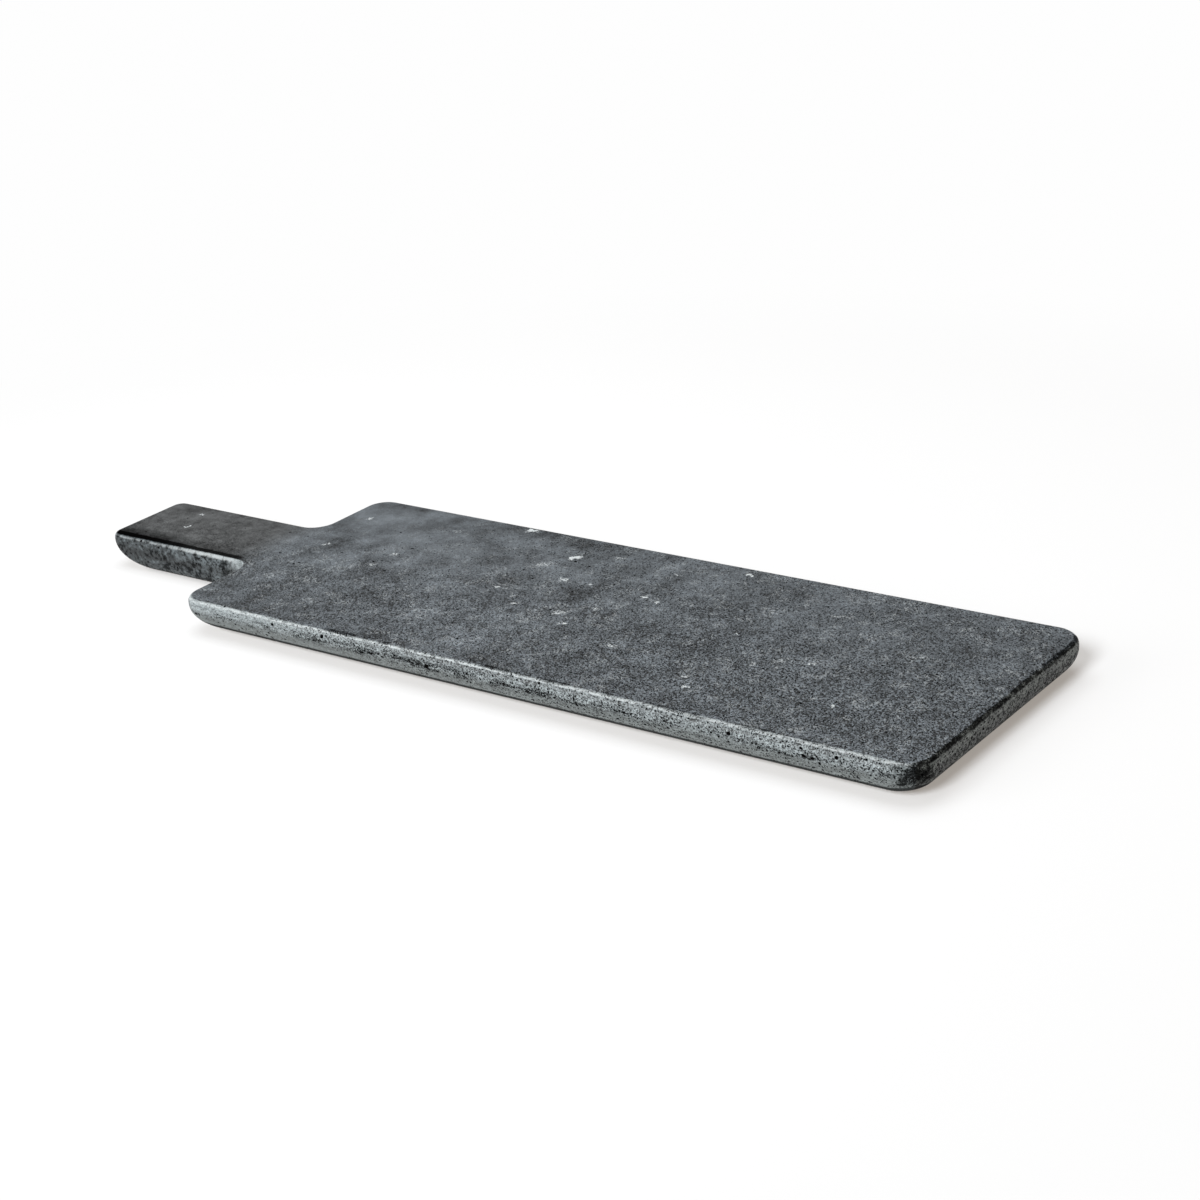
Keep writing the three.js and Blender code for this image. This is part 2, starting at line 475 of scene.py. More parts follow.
FOOT_SEGMENTS = 48
FOOT_EDGE = 0.5 * MM
FOOT_EDGE_STEPS = 5
FOOT_RIM = 0.9 * MM
FOOT_DISH_SLOPE = 0.4 * MM
FOOT_DISH_DEPTH = 0.2 * MM
FACES_DOWN = -0.99


def make_foot(node):
    """A moulded bumper in place of one CAD foot: a rounded rim round a shallow dish."""
    low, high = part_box(node)
    centre = [(a + b) / 2 for a, b in zip(low, high)]
    radius = (high[0] - low[0]) / 2
    foot = add_piece(
        node.replace("foot", "bumper"), bpy.ops.mesh.primitive_cylinder_add,
        vertices=FOOT_SEGMENTS, radius=radius, depth=high[2] - low[2],
    )
    bpy.ops.mesh.select_all(action="SELECT")
    bpy.ops.transform.translate(value=centre)
    select_only(foot, "EDGE", edge_at_height(low[2]))
    bpy.ops.mesh.bevel(
        offset=FOOT_EDGE, segments=FOOT_EDGE_STEPS, profile=0.5, affect="EDGES", clamp_overlap=False,
    )
    select_only(foot, "FACE", lambda face: face.normal.z < FACES_DOWN)
    bpy.ops.mesh.inset(thickness=FOOT_RIM)
    bpy.ops.mesh.inset(thickness=FOOT_DISH_SLOPE)
    bpy.ops.transform.translate(value=(0, 0, FOOT_DISH_DEPTH))
    leave_edit_mode()
    bpy.ops.object.shade_smooth_by_angle(angle=SHARP_ANGLE)
    return foot


# Finishes

class Wire:
    """One value, colour or vector in a node tree. Arithmetic on a value adds Math nodes."""

    def __init__(self, nodes, socket):
        self.nodes = nodes
        self.socket = socket

    def __add__(self, other):
        return self.nodes.maths("ADD", self, other)

    def __radd__(self, other):
        return self.nodes.maths("ADD", other, self)

    def __sub__(self, other):
        return self.nodes.maths("SUBTRACT", self, other)

    def __rsub__(self, other):
        return self.nodes.maths("SUBTRACT", other, self)

    def __mul__(self, other):
        return self.nodes.maths("MULTIPLY", self, other)

    def __truediv__(self, other):
        return self.nodes.maths("DIVIDE", self, other)

    def __abs__(self):
        return self.nodes.maths("ABSOLUTE", self)


class Nodes:
    """The node tree of a material or of the world."""

    def __init__(self, tree):
        self.tree = tree

    def add(self, node_type, settings=None, sockets=None, output=0):
        """Add a node, set it up, feed its sockets and return one of its outputs."""
        node = self.tree.nodes.new(node_type)
        for name, setting in (settings or {}).items():
            setattr(node, name, setting)
        for name, value in (sockets or {}).items():
            self.feed(node.inputs[name], value)
        return Wire(self, node.outputs[output])

    def feed(self, socket, value):
        if isinstance(value, Wire):
            self.tree.links.new(value.socket, socket)
        else:
            socket.default_value = value

    def maths(self, operation, first, second=0.0):
        return self.add("ShaderNodeMath", {"operation": operation}, {0: first, 1: second})

    def least(self, first, second):
        return self.maths("MINIMUM", first, second)

    def most(self, first, *others):
        """The largest of two or more values."""
        for other in others:
            first = self.maths("MAXIMUM", first, other)
        return first

    def fade(self, value, start, end):
        """0 before start, 1 after end and smooth between them. start may be the larger."""
        rising = start < end
        return self.add(
            "ShaderNodeMapRange", {"interpolation_type": "SMOOTHSTEP"},
            {
                "Value": value, "From Min": min(start, end), "From Max": max(start, end),
                "To Min": 0.0 if rising else 1.0, "To Max": 1.0 if rising else 0.0,
            },
        )

    def between(self, value, first_limits, second_limits):
        """1 inside both limits of a value, each of which begins at one number and is full at another."""
        return self.fade(value, *first_limits) * self.fade(value, *second_limits)

    def blend(self, share, first, second):
        """A colour that goes from the first to the second."""
        return self.add(
            "ShaderNodeMix", {"data_type": "RGBA"}, {"Factor": share, 6: first, 7: second}, output=2,
        )

    def tint(self, colour, strength):
        """A colour times a value."""
        start = colour if isinstance(colour, Wire) else colour[:3]
        return self.add("ShaderNodeVectorMath", {"operation": "SCALE"}, {0: start, "Scale": strength})

    def object_millimetres(self):
        place = self.add("ShaderNodeTexCoord", output="Object")
        return self.tint(place, 1 / MM)

    def split(self, vector):
        """The three parts of a vector."""
        node = self.tree.nodes.new("ShaderNodeSeparateXYZ")
        self.feed(node.inputs[0], vector)
        return [Wire(self, output) for output in node.outputs]

    def length(self, vector):
        return self.add("ShaderNodeVectorMath", {"operation": "LENGTH"}, {0: vector}, output="Value")

    def shifted(self, place, shift):
        """A place moved along, so that a texture there is unlike the same texture elsewhere."""
        return self.add("ShaderNodeVectorMath", {"operation": "ADD"}, {0: place, 1: shift})

    def scaled(self, place, scale):
        """A place with its axes scaled, which draws a texture out along the axes of small scale."""
        return self.add("ShaderNodeMapping", {}, {"Vector": place, "Scale": scale})

    def centred(self, place, centre, sizes, turn=0.0):
        """A place counted from a centre, in shares of the sizes, along axes that are turned about Z."""
        sockets = {"Vector": place, "Location": centre, "Rotation": (0, 0, turn), "Scale": sizes}
        return self.add("ShaderNodeMapping", {"vector_type": "TEXTURE"}, sockets)

    def noise(self, place, size, detail, roughness=0.5, output="Fac"):
        """Cloudy noise about 0.5, with lumps of the given size."""
        sockets = {"Vector": place, "Scale": 1 / size, "Detail": detail, "Roughness": roughness}
        return self.add("ShaderNodeTexNoise", {}, sockets, output=output)

    def cells(self, place, size, output="Distance"):
        """Cells of about the given size: the distance from each cell's point, or the cell's own colour."""
        return self.add("ShaderNodeTexVoronoi", {}, {"Vector": place, "Scale": 1 / size}, output=output)

    def rays(self, *kinds):
        """1 for light rays of these kinds, and otherwise 0."""
        path = self.tree.nodes.new("ShaderNodeLightPath")
        return self.most(*[Wire(self, path.outputs[kind]) for kind in kinds])


class Finish(Nodes):
    """A material with one Principled shader."""

    def __init__(self, name):
        self.material = bpy.data.materials.new(name)
        self.material.use_nodes = True
        super().__init__(self.material.node_tree)
        self.shader = self.tree.nodes["Principled BSDF"]

    def set(self, socket, value):
        self.feed(self.shader.inputs[socket], value)

    def bump(self, height, strength, distance):
        sockets = {"Height": height, "Strength": strength, "Distance": distance}
        self.set("Normal", self.add("ShaderNodeBump", {}, sockets, "Normal"))

    def mixed_shader(self, share, first, second):
        """A shader that goes from the first to the second."""
        return self.add("ShaderNodeMixShader", {}, {0: share, 1: first, 2: second})

    def show(self, shader):
        """Put another shader on the surface."""
        self.feed(self.tree.nodes["Material Output"].inputs["Surface"], shader)


# Pale flecks on the top, read from the photo: x and y in millimetres, length, width, turn in degrees
# and strength
PALE_FLECKS = [
    (-46, 68, 6, 4, 20, 1.2),
    (-4, 48, 7, 5, 60, 1.3),
    (8, 24, 6, 1.2, -10, 1.0),
    (23, 24, 2.5, 1.5, 0, 1.2),
    (-16, 3, 2.8, 2.2, 0, 1.3),
    (29, -9, 7, 4, 20, 0.7),
    (39, -18, 6, 2, 10, 0.8),
    (43, 2, 6, 4, 30, 0.5),
    (55, 22, 3, 2, 0, 1.3),
    (64, 19, 3, 1.5, -20, 1.3),
    (84, 65, 3.4, 2.6, 0, 1.3),
    (116, 5, 2, 1.6, 0, 0.9),
    (140, -18, 1.8, 1.5, 0, 0.8),
    (146, 40, 9, 3, 30, 0.5),
    (16, 56, 7, 4, 30, 0.6),
    (53, 51, 3, 2, 0, 0.7),
    (73, -29, 6, 1.5, 30, 0.9),
    (127, -49, 2.3, 1.9, 0, 1.2),
    (162, -7, 6, 1.5, 30, 0.7),
    (148, -11, 7, 5, 30, 0.5),
    (5, -9, 3, 2, 30, 0.7),
    (121, -41, 3, 2, 30, 0.7),
    (-80, 52, 8, 3, 30, 0.4),
    (-13, 34, 14, 8, 30, 0.5),
    (-222, 14, 3.5, 2.2, 30, 0.8),
    (-216, -2, 4, 2.6, 30, 0.8),
    (-135, 47, 5, 2, 50, 0.7),
    (-131, 11, 5, 2, 30, 0.7),
    (-91, -1, 4, 2, 30, 0.7),
    (-89, 14, 6, 2.5, 40, 0.8),
    (235, 45, 9, 2, 40, 0.5),
    (199, 18, 10, 2, 34, 0.5),
    (202, 52, 10, 2, 30, 0.5),
    (205, -9, 12, 7, 30, 0.36),
    (181, -35, 5, 3, 30, 0.55),
    (201, -46, 10, 5, 30, 0.4),
    (192, -39, 1.8, 1.5, 0, 1.1),
]

# A fleck begins at the first of these shares of its half sizes, and is full at the second. In millimetres,
# it reaches this deep, its outline is bent by up to half of this, in waves of this size, and its grains
# have this size
FLECK_LIMITS = (1.7, 0.2)
FLECK_DEPTH = 4.0
FLECK_BEND = 9.0
FLECK_BEND_SIZE = 10 / 3
FLECK_GRAIN_SIZE = 0.9


def fleck_share(stone, place):
    """How thickly pale grains crowd at each point of the top, from the list of flecks."""
    bend = stone.shifted(stone.noise(place, FLECK_BEND_SIZE, 3.0, output="Color"), (-0.5, -0.5, -0.5))
    bent = stone.shifted(place, stone.tint(bend, FLECK_BEND))
    shares = []
    for x, y, length, width, turn, strength in PALE_FLECKS:
        sizes = (length / 2, width / 2, FLECK_DEPTH)
        distance = stone.length(stone.centred(bent, (x, y, TOP_Z / MM), sizes, math.radians(turn)))
        shares.append(stone.fade(distance, *FLECK_LIMITS) * strength)
    total = stone.most(*shares)
    ragged = stone.noise(place, FLECK_GRAIN_SIZE, 3.0, 0.8)
    grains = stone.fade(total * 0.26 + ragged, 0.62, 0.67) * stone.fade(total, 0.02, 0.25)
    return grains * stone.least(total * 1.15 + 0.15, 1.0)


# Colours of the stone, as the camera should see them under plain light
TOP_COLOUR = (0.096, 0.109, 0.12, 1)
HANDLE_COLOUR = (0.064, 0.067, 0.068, 1)
EDGE_HIGH_COLOUR = (0.262, 0.295, 0.304, 1)
EDGE_LOW_COLOUR = (0.181, 0.203, 0.202, 1)
FAR_END_COLOUR = (0.092, 0.098, 0.090, 1)
HANDLE_EDGE_COLOUR = (0.056, 0.067, 0.072, 1)
PALE_COLOUR = (0.70, 0.745, 0.755, 1)
# Colour of the painted highlights along the rims and at the handle's neck
PAINTED_HIGHLIGHT_COLOUR = (0.66, 0.71, 0.72, 1)
PIT_AND_PAINTED_SHADE_COLOUR = (0.001, 0.001, 0.001, 1)

# Height of the relief that grain, crystals and painted pits give the stone
STONE_RELIEF = 0.05 * MM

# The places, bands and sizes below are in millimetres. A pair gives the place where a zone or band begins
# and the place where it is full.

# Half widths of the flat top, and how fast its inside counts against the drop over the rim
FLAT_HALF_BODY = (HALF_BODY - TOP_ROUND) / MM
FLAT_HALF_HANDLE = (HALF_HANDLE - TOP_ROUND) / MM
RIM_SLOPE = 0.6

# Centres of the two shoulder corners, which differ in the sign of Y
SHOULDER_CORNER_X = (SHOULDER_X + CORNER_RADII["shoulder"][0]) / MM
SHOULDER_CORNER_Y = (HALF_BODY - CORNER_RADII["shoulder"][0]) / MM
SHOULDER_CORNER_LIMITS = (0.5, 4.0)

# Zones across the slab and along it
NEAR_SIDE_Y = (50.0, -40.0)
FAR_SIDE_Y = (20.0, 50.0)
FRONT_RIM_Y = (0.0, -20.0)
RIGHT_X = (0.0, 190.0)
LEFT_X = (20.0, -140.0)
FAR_END_LIMITS_X = (225.0, 240.0)
SHOULDER_LIMITS_X = (-120.0, -130.0)
HANDLE_X = (-142.0, -170.0)
GRIP_X = (-154.0, -166.0)
BLACK_GRIP_X = (-151.0, -161.0)
NECK_X = (-167.0, -157.0)
TOWARDS_NECK_X = (-225.0, -175.0)

# Bands of the edge, as drops below the top
EDGE_DROP = (0.1, 0.4)
UPPER_EDGE_DROP = (8.0, 4.0)
SHOULDER_ROUND_DROP = (2.8, 1.4)
PIT_BAND_TOP = (1.9, 4.9)
PIT_BAND_FOOT = (8.4, 6.2)
FAR_RIM_TOP = (0.0, 0.22)
FAR_RIM_FOOT = (1.9, 1.1)
FAR_STRIP_TOP = (1.2, 1.9)
FAR_STRIP_FOOT = (5.5, 3.5)
GRIP_BELT_TOP = (4.5, 8.0)
GRIP_BELT_FOOT = (11.5, 9.0)
POLISH_TOP = (0.05, 0.3)
POLISH_FOOT = (3.0, 1.6)

# Upward part of the normal where the roll turns under to the flat underside. There the stone is painted
# black, as painted shade.
UNDERCUT_BEGINS = (-0.58, -0.68)
UNDERCUT_ENDS = (-0.99, -0.93)

# Sizes of the stone's textures
PIT_GRAIN_SIZE = 0.3
GRAIN_SIZE = 0.48
CRYSTAL_SIZE = 0.5
HOLE_SIZE = 0.7
PEPPER_SIZE = 1.0
SALT_SIZE = 1.2
SPOT_SIZE = 2.0
FAR_BLOTCH_SIZE = 2.0
THREAD_SIZE = 2.6
MOTTLE_SIZE = 4.0
WANDER_SIZE = 5.0
BLOTCH_SIZE = 6.0
THREAD_PATCH_SIZE = 8.0
CLOUD_SIZE = 20.0
CROWD_SIZE = 24.0
BANK_SIZE = 90.0

# The grain is drawn out this much, along a direction turned this far from Y
GRAIN_STRETCH = 1.9
GRAIN_TURN = math.radians(39)

# Scales along the axes of the textures that are drawn out along an edge
STREAK_SCALE = (0.05, 0.05, 1.3)
CLUSTER_SCALE = (0.07, 0.07, 0.35)
RIM_LINE_SCALE = (0.22, 0.5, 0.9)
FAR_END_SCALE = (0.5, 0.1, 0.9)

# Stretches of the front rim painted black above the painted highlight line, as painted dark reflection
DARK_RIM_STRETCHES = [
    (-58, -38), (-24, -17), (34, 52), (66, 82), (98, 104), (121, 148), (166, 182), (196, 204),
]

# Centre and half sizes of the black patch on the near right corner, partly painted dark reflection, and the
# size of its ragged outline
CORNER_PATCH_CENTRE = (244.0, -67.0, 14.0)
CORNER_PATCH_SIZES = (8.5, 9.0, 6.5)
CORNER_PATCH_OUTLINE_SIZE = 4.0


class StoneMap:
    """Places on the slab, its zones from 0 to 1, and textures, all but the spots varying about nought."""

    def __init__(self, stone):
        place = stone.object_millimetres()
        self.place = place
        self.x, self.y, z = stone.split(place)
        self.drop = TOP_Z / MM - z
        away = abs(self.y)
        past_x = stone.most(SHOULDER_CORNER_X - self.x, 0.0)
        past_y = stone.most(away - SHOULDER_CORNER_Y, 0.0)
        past_corner = stone.maths("SQRT", past_x * past_x + past_y * past_y) - past_y
        away = away + past_corner * stone.fade(past_y, *SHOULDER_CORNER_LIMITS)
        self.body_rim = self.drop - stone.most(FLAT_HALF_BODY - away, 0.0) * RIM_SLOPE
        self.handle_rim = self.drop - stone.most(FLAT_HALF_HANDLE - away, 0.0) * RIM_SLOPE

        self.grained = stone.centred(place, (0, 0, 0), (1, GRAIN_STRETCH, 1), GRAIN_TURN)
        self.crystals = stone.split(stone.cells(self.grained, CRYSTAL_SIZE, "Color"))[0] - 0.5
        self.grain = stone.noise(self.grained, GRAIN_SIZE, 2.0, 0.8) - 0.5
        self.mottle = stone.noise(place, MOTTLE_SIZE, 3.0, 0.65) - 0.5
        self.wander = stone.noise(place, WANDER_SIZE, 3.0, 0.6) - 0.5
        self.clouds = stone.noise(place, CLOUD_SIZE, 4.0, 0.6) - 0.5
        self.banks = stone.noise(stone.shifted(place, (140, 60, 0)), BANK_SIZE, 2.0, 0.5) - 0.5
        self.streaks = stone.noise(stone.scaled(place, STREAK_SCALE), 1.0, 3.0, 0.65) - 0.5
        blotches = stone.noise(stone.shifted(place, (0, 40, 0)), BLOTCH_SIZE, 2.0, 0.6) - 0.5
        self.spots = stone.noise(place, SPOT_SIZE, 3.0, 0.65) + blotches * 0.5

        self.near_side = stone.fade(self.y, *NEAR_SIDE_Y)
        self.far_side = stone.fade(self.y, *FAR_SIDE_Y)
        self.right = stone.fade(self.x, *RIGHT_X)
        self.left = stone.fade(self.x, *LEFT_X)
        self.handle = stone.fade(self.x, *HANDLE_X)
        self.grip = stone.fade(self.x, *GRIP_X)
        self.necked = stone.fade(self.x, *TOWARDS_NECK_X)
        self.edge = stone.fade(self.drop + self.wander * 0.2 - self.far_side * 0.5, *EDGE_DROP)
        self.front_rim = self.body_rim + self.by_zone(-0.5, left=-0.4, right=0.3)

        facing_x, facing_y, facing_z = stone.split(stone.add("ShaderNodeNewGeometry", output="Normal"))
        faces_far = stone.fade(facing_x - abs(facing_y), 0.0, 0.14)
        self.far_end = faces_far * stone.fade(self.x, *FAR_END_LIMITS_X)
        self.turned_away = stone.fade(facing_x, -0.15, -0.6) * stone.fade(self.x, *SHOULDER_LIMITS_X)
        # Painted shade: black where the roll faces down towards the table
        self.undercut_shade = stone.between(facing_z, UNDERCUT_BEGINS, UNDERCUT_ENDS)

    def by_zone(self, start, **shares):
        """A value that begins at start and takes on the share of each named zone."""
        for zone, share in shares.items():
            start = start + getattr(self, zone) * share
        return start


def paint_top(stone, at):
    """Fine grain and clouds, with pale threads, crystals and flecks."""
    fineness = at.by_zone(0.68, near_side=0.8, right=0.42, left=-0.46, handle=-0.15)
    fine = (at.crystals * 1.6 + at.grain * 2.8) * fineness
    # The top grows darker towards the front rim
    darker_to_rim = stone.fade(at.body_rim, -9.0, -2.0) * (1 - at.handle) * at.by_zone(0.38, right=-0.5, left=-0.26)
    mottled = at.mottle * at.by_zone(1.25, handle=1.55, right=-0.3, near_side=-0.25)
    patches = mottled + at.clouds * at.by_zone(3.2, right=-1.2) + at.banks * 0.8
    tone = at.by_zone(1.1, near_side=-0.18, right=-0.14) + fine + patches - darker_to_rim
    colour = stone.tint(stone.blend(at.handle, TOP_COLOUR, HANDLE_COLOUR), stone.most(tone, 0.06))

    thread_field = stone.noise(stone.shifted(at.grained, (30, 0, 70)), THREAD_SIZE, 2.0, 0.65)
    patch_field = stone.noise(stone.shifted(at.place, (0, 90, 0)), THREAD_PATCH_SIZE, 2.0, 0.6)
    thread = stone.fade(abs(thread_field - 0.5), 0.034, 0.008) * stone.fade(patch_field, 0.5, 0.62)
    salt_place = stone.shifted(at.place, (7, 3, 1))
    salt_chance = stone.split(stone.cells(salt_place, SALT_SIZE, "Color"))[2] + at.clouds - at.right * 0.12
    salt = stone.fade(stone.cells(salt_place, SALT_SIZE), 0.32, 0.16) * stone.fade(salt_chance, 0.56, 0.84)
    pale = stone.most(thread * 0.36, salt * 0.7) * stone.least(fineness, 1.0) * at.by_zone(1, handle=-0.7)
    return stone.blend(stone.most(pale, fleck_share(stone, at.place)), colour, PALE_COLOUR)


def paint_long_sides(stone, at):
    """Paler below the rim, smoother below, streaked along the edge, with a painted highlight along the rim.
    """
    upper = stone.fade(at.drop + at.wander * 2.5 + at.streaks * 2.5, *UPPER_EDGE_DROP)
    colour = stone.blend(upper, EDGE_LOW_COLOUR, EDGE_HIGH_COLOUR)
    fine = (at.crystals * 2.0 + at.grain * 3.1) * (0.5 + upper * 0.5) * at.by_zone(1, left=-0.35)
    rough = fine + at.mottle * at.by_zone(2.0, left=-0.9) + at.streaks * 1.3
    tone = at.by_zone(1, right=0.12, turned_away=-0.35) + rough + upper * (at.left * 0.36 - at.right * 0.05)
    shoulder = stone.fade(at.drop, *SHOULDER_ROUND_DROP) * at.by_zone(1, left=-0.7, right=-0.35)
    colour = stone.tint(colour, stone.most(tone, 0.1) * (1 - shoulder * 0.38))

    # Painted highlight: a pale line along the rim, where the lamps would glint
    from_line = abs(at.front_rim + at.wander * 0.3) / at.by_zone(1, left=0.6)
    highlight_band = stone.fade(from_line, 0.48, 0.12) * at.by_zone(1, far_side=-0.8)
    line_field = stone.noise(stone.scaled(at.place, RIM_LINE_SCALE), 1.0, 3.0, 0.75) + at.grain * 0.4
    line = highlight_band * (0.12 + stone.fade(line_field, 0.4, 0.57) * 0.88) * at.by_zone(0.95, right=-0.25)
    return stone.blend(line, colour, PAINTED_HIGHLIGHT_COLOUR)


def paint_far_end(stone, at):
    """Dark, with a painted reflection: a paler strip under its black rim."""
    # Painted reflection: a paler strip under the rim
    strip_top = stone.fade(at.drop + at.wander, *FAR_STRIP_TOP)
    strip = strip_top * stone.fade(at.drop + at.wander * 2.0, *FAR_STRIP_FOOT)
    streaks = stone.noise(stone.scaled(at.place, FAR_END_SCALE), 1.0, 3.0, 0.7) - 0.5
    tone = 0.6 + strip * 0.84 + at.crystals * 1.6 + at.grain * 2.6 + at.mottle * 2.2 + streaks * 5.0
    return stone.tint(FAR_END_COLOUR, stone.most(tone, 0.06))


def far_end_blotches_and_dark_reflection(stone, at):
    """The far end's rim painted black as painted dark reflection, and black blotches below it."""
    rim_top = stone.fade(at.drop + at.wander * 0.5, *FAR_RIM_TOP)
    rim = rim_top * stone.fade(at.drop + at.wander * 1.2, *FAR_RIM_FOOT)
    rim = rim * stone.fade(at.grain + at.mottle * 1.5, 0.22, 0.0)
    blotches = stone.fade(stone.noise(at.place, FAR_BLOTCH_SIZE, 4.0, 0.8) + at.drop * 0.008, 0.54, 0.6)
    return stone.most(rim * 0.86, blotches * at.edge * 0.75) * at.far_end


def paint_grip(stone, at):
    """The handle's sides: blotched dark and pale, with painted light towards the neck and painted highlights
    under the rim and at the neck.
    """
    pale_spots = stone.fade(at.spots + at.necked * 0.05 - at.drop * 0.008, 0.5, 0.64)
    # Painted light: the sides grow lighter towards the neck
    tone = at.by_zone(0.75, necked=0.25) + at.grain * 1.5 + pale_spots * 1.7
    belt = stone.between(at.drop + at.wander * 2.0, GRIP_BELT_TOP, GRIP_BELT_FOOT)
    colour = stone.tint(HANDLE_EDGE_COLOUR, stone.most(tone, 0.08) * (1.05 - belt * 0.5))
    broken = stone.fade(at.spots + at.necked * 0.12, 0.28, 0.56)
    # Painted highlight: a pale line under the handle's rim
    from_line = abs(at.handle_rim + at.wander * 0.5 + at.by_zone(-1.15, necked=0.15))
    line = stone.fade(from_line / at.by_zone(1, necked=0.95), 0.62, 0.12) * broken
    colour = stone.blend(line * at.by_zone(0.33, necked=0.4), colour, PAINTED_HIGHLIGHT_COLOUR)
    # Painted highlight on the hollow corner of the neck
    neck = stone.fade(at.x, *NECK_X) * stone.fade(at.drop + at.wander * 3.0, 9.0, 2.0)
    return stone.blend(neck * broken * 0.45, colour, PAINTED_HIGHLIGHT_COLOUR)


def grip_spots_and_dark_reflection(stone, at):
    """Dark spots on the handle's sides. Its top is painted black towards the near rim, sooner towards its
    end, as painted dark reflection.
    """
    slow = stone.fade(at.y + at.necked * 4.0 + at.mottle * 4.0, -7.5, -21.5) * at.by_zone(0.78, necked=-0.3)
    quick = stone.fade(at.y + at.wander * 1.2 + at.necked * 0.6, -18.6, -21.0) * at.by_zone(1, necked=-0.08)
    top_end = at.drop + at.wander * 0.3 + at.necked * 0.15
    rim = stone.most(slow, quick) * stone.fade(at.x, *BLACK_GRIP_X) * stone.fade(top_end, 0.6, 0.3)
    dark_spots = stone.fade(at.spots - at.necked * 0.03 - at.drop * 0.004, 0.49, 0.3)
    return stone.most(rim, dark_spots * stone.fade(at.drop, 0.8, 1.6) * at.grip * 0.8)


def front_rim_dark_reflection(stone, at):
    """Painted dark reflection: black stretches of the front rim, just inside the painted highlight line."""
    along = at.x + at.wander * 8.0
    stretches = [
        stone.between(along, (start - 2.0, start + 3.0), (stop + 2.0, stop - 3.0))
        for start, stop in DARK_RIM_STRETCHES
    ]
    band = stone.fade(abs(at.front_rim + 0.65 + at.wander * 0.6 + at.grain), 0.75, 0.3)
    ragged = stone.fade(at.grain + at.mottle * 0.6, 0.1, -0.05)
    on_front = stone.fade(at.y, *FRONT_RIM_Y) * (1 - at.handle) * (1 - at.far_end)
    return stone.most(*stretches) * band * on_front * (0.4 + ragged * 0.56) * at.by_zone(1, right=-0.3)


def pit_darkness(stone, at):
    """Pits too small to cut: pepper on the top, and clusters along the sides."""
    crowd = stone.noise(stone.shifted(at.place, (0, 0, 300)), CROWD_SIZE, 2.0, 0.5) - 0.5
    pit_place = stone.shifted(at.place, (2, 5, 9))
    chance = stone.split(stone.cells(pit_place, PEPPER_SIZE, "Color"))[1] + crowd * 0.5
    chance = at.by_zone(chance, near_side=0.1, right=0.12, left=-0.3, handle=-0.2, edge=-0.06)
    pepper = stone.fade(stone.cells(pit_place, PEPPER_SIZE), 0.44, 0.28) * stone.fade(chance, 0.7, 0.8)

    crowding = at.by_zone(1, left=-1.6) * (1 - at.right) * 0.065
    cluster = stone.noise(stone.scaled(at.place, CLUSTER_SCALE), 1.0, 3.0, 0.6) + crowding
    depth = at.drop + at.streaks * 2.5
    band = stone.fade(depth - at.right, *PIT_BAND_TOP) * stone.fade(depth, *PIT_BAND_FOOT)
    holes = stone.noise(stone.shifted(at.place, (0, 17, 0)), HOLE_SIZE, 3.0, 0.8)
    eaten = stone.fade(holes + stone.fade(cluster, 0.4, 0.66) * 0.13, 0.575, 0.6)
    eaten = eaten * band * stone.fade(cluster, 0.42, 0.54)
    return stone.most(pepper, eaten * at.edge * (1 - at.far_end) * (1 - at.grip))


def corner_dark_patch(stone, at):
    """A ragged black patch on the near right corner: dark stone, and painted dark reflection of the rounded
    corner.
    """
    distance = stone.length(stone.centred(at.place, CORNER_PATCH_CENTRE, CORNER_PATCH_SIZES))
    ragged = stone.noise(stone.shifted(at.place, (60, 0, 0)), CORNER_PATCH_OUTLINE_SIZE, 4.0, 0.75) - 0.5
    bare = stone.fade(at.grain + at.mottle * 0.6, 0.08, 0.18)
    return stone.fade(distance + ragged * 2.0, 0.95, 0.6) * at.edge * (0.94 - bare * 0.6)


def paint_stone():
    """Honed dark stone: fine grain, clouds, pale flecks and a paler pitted edge, with painted highlights and
    painted dark reflection on the rims and painted shade under the roll.
    """
    stone = Finish("honed_stone")
    at = StoneMap(stone)
    edge_colour = stone.blend(at.far_end, paint_long_sides(stone, at), paint_far_end(stone, at))
    edge_colour = stone.blend(at.grip, edge_colour, paint_grip(stone, at))
    # The edge colour, with its painted highlight, reaches onto the rim of the top
    highlight_rim = stone.fade(at.front_rim, -0.6, -0.3) * (1 - at.grip) * (1 - at.far_end) * (1 - at.far_side)
    on_edge = stone.most(at.edge, highlight_rim)
    stone.set("Base Color", stone.blend(on_edge, paint_top(stone, at), edge_colour))

    pits = pit_darkness(stone, at)
    polish = stone.between(at.drop, POLISH_TOP, POLISH_FOOT)
    stone.set("Roughness", 0.52 + at.grain * 0.4 + at.mottle * 0.2 - polish * 0.14)
    stone.set("Specular IOR Level", 0.42)
    stone.bump((at.grain * 0.5 + at.crystals * 0.3 - pits * 0.8) * (1 - polish * 0.5), 0.35, STONE_RELIEF)

    # Black over the stone: pits, and painted dark reflection and painted shade on the rims and under the
    # roll
    black = stone.most(
        front_rim_dark_reflection(stone, at), grip_spots_and_dark_reflection(stone, at), far_end_blotches_and_dark_reflection(stone, at),
        corner_dark_patch(stone, at), pits, at.undercut_shade * 0.85,
    )
    dull_sockets = {"Base Color": PIT_AND_PAINTED_SHADE_COLOUR, "Roughness": 0.8, "Specular IOR Level": 0.01}
    dull = stone.add("ShaderNodeBsdfPrincipled", {}, dull_sockets)
    stone.show(stone.mixed_shader(black, Wire(stone, stone.shader.outputs[0]), dull))
    return stone.material


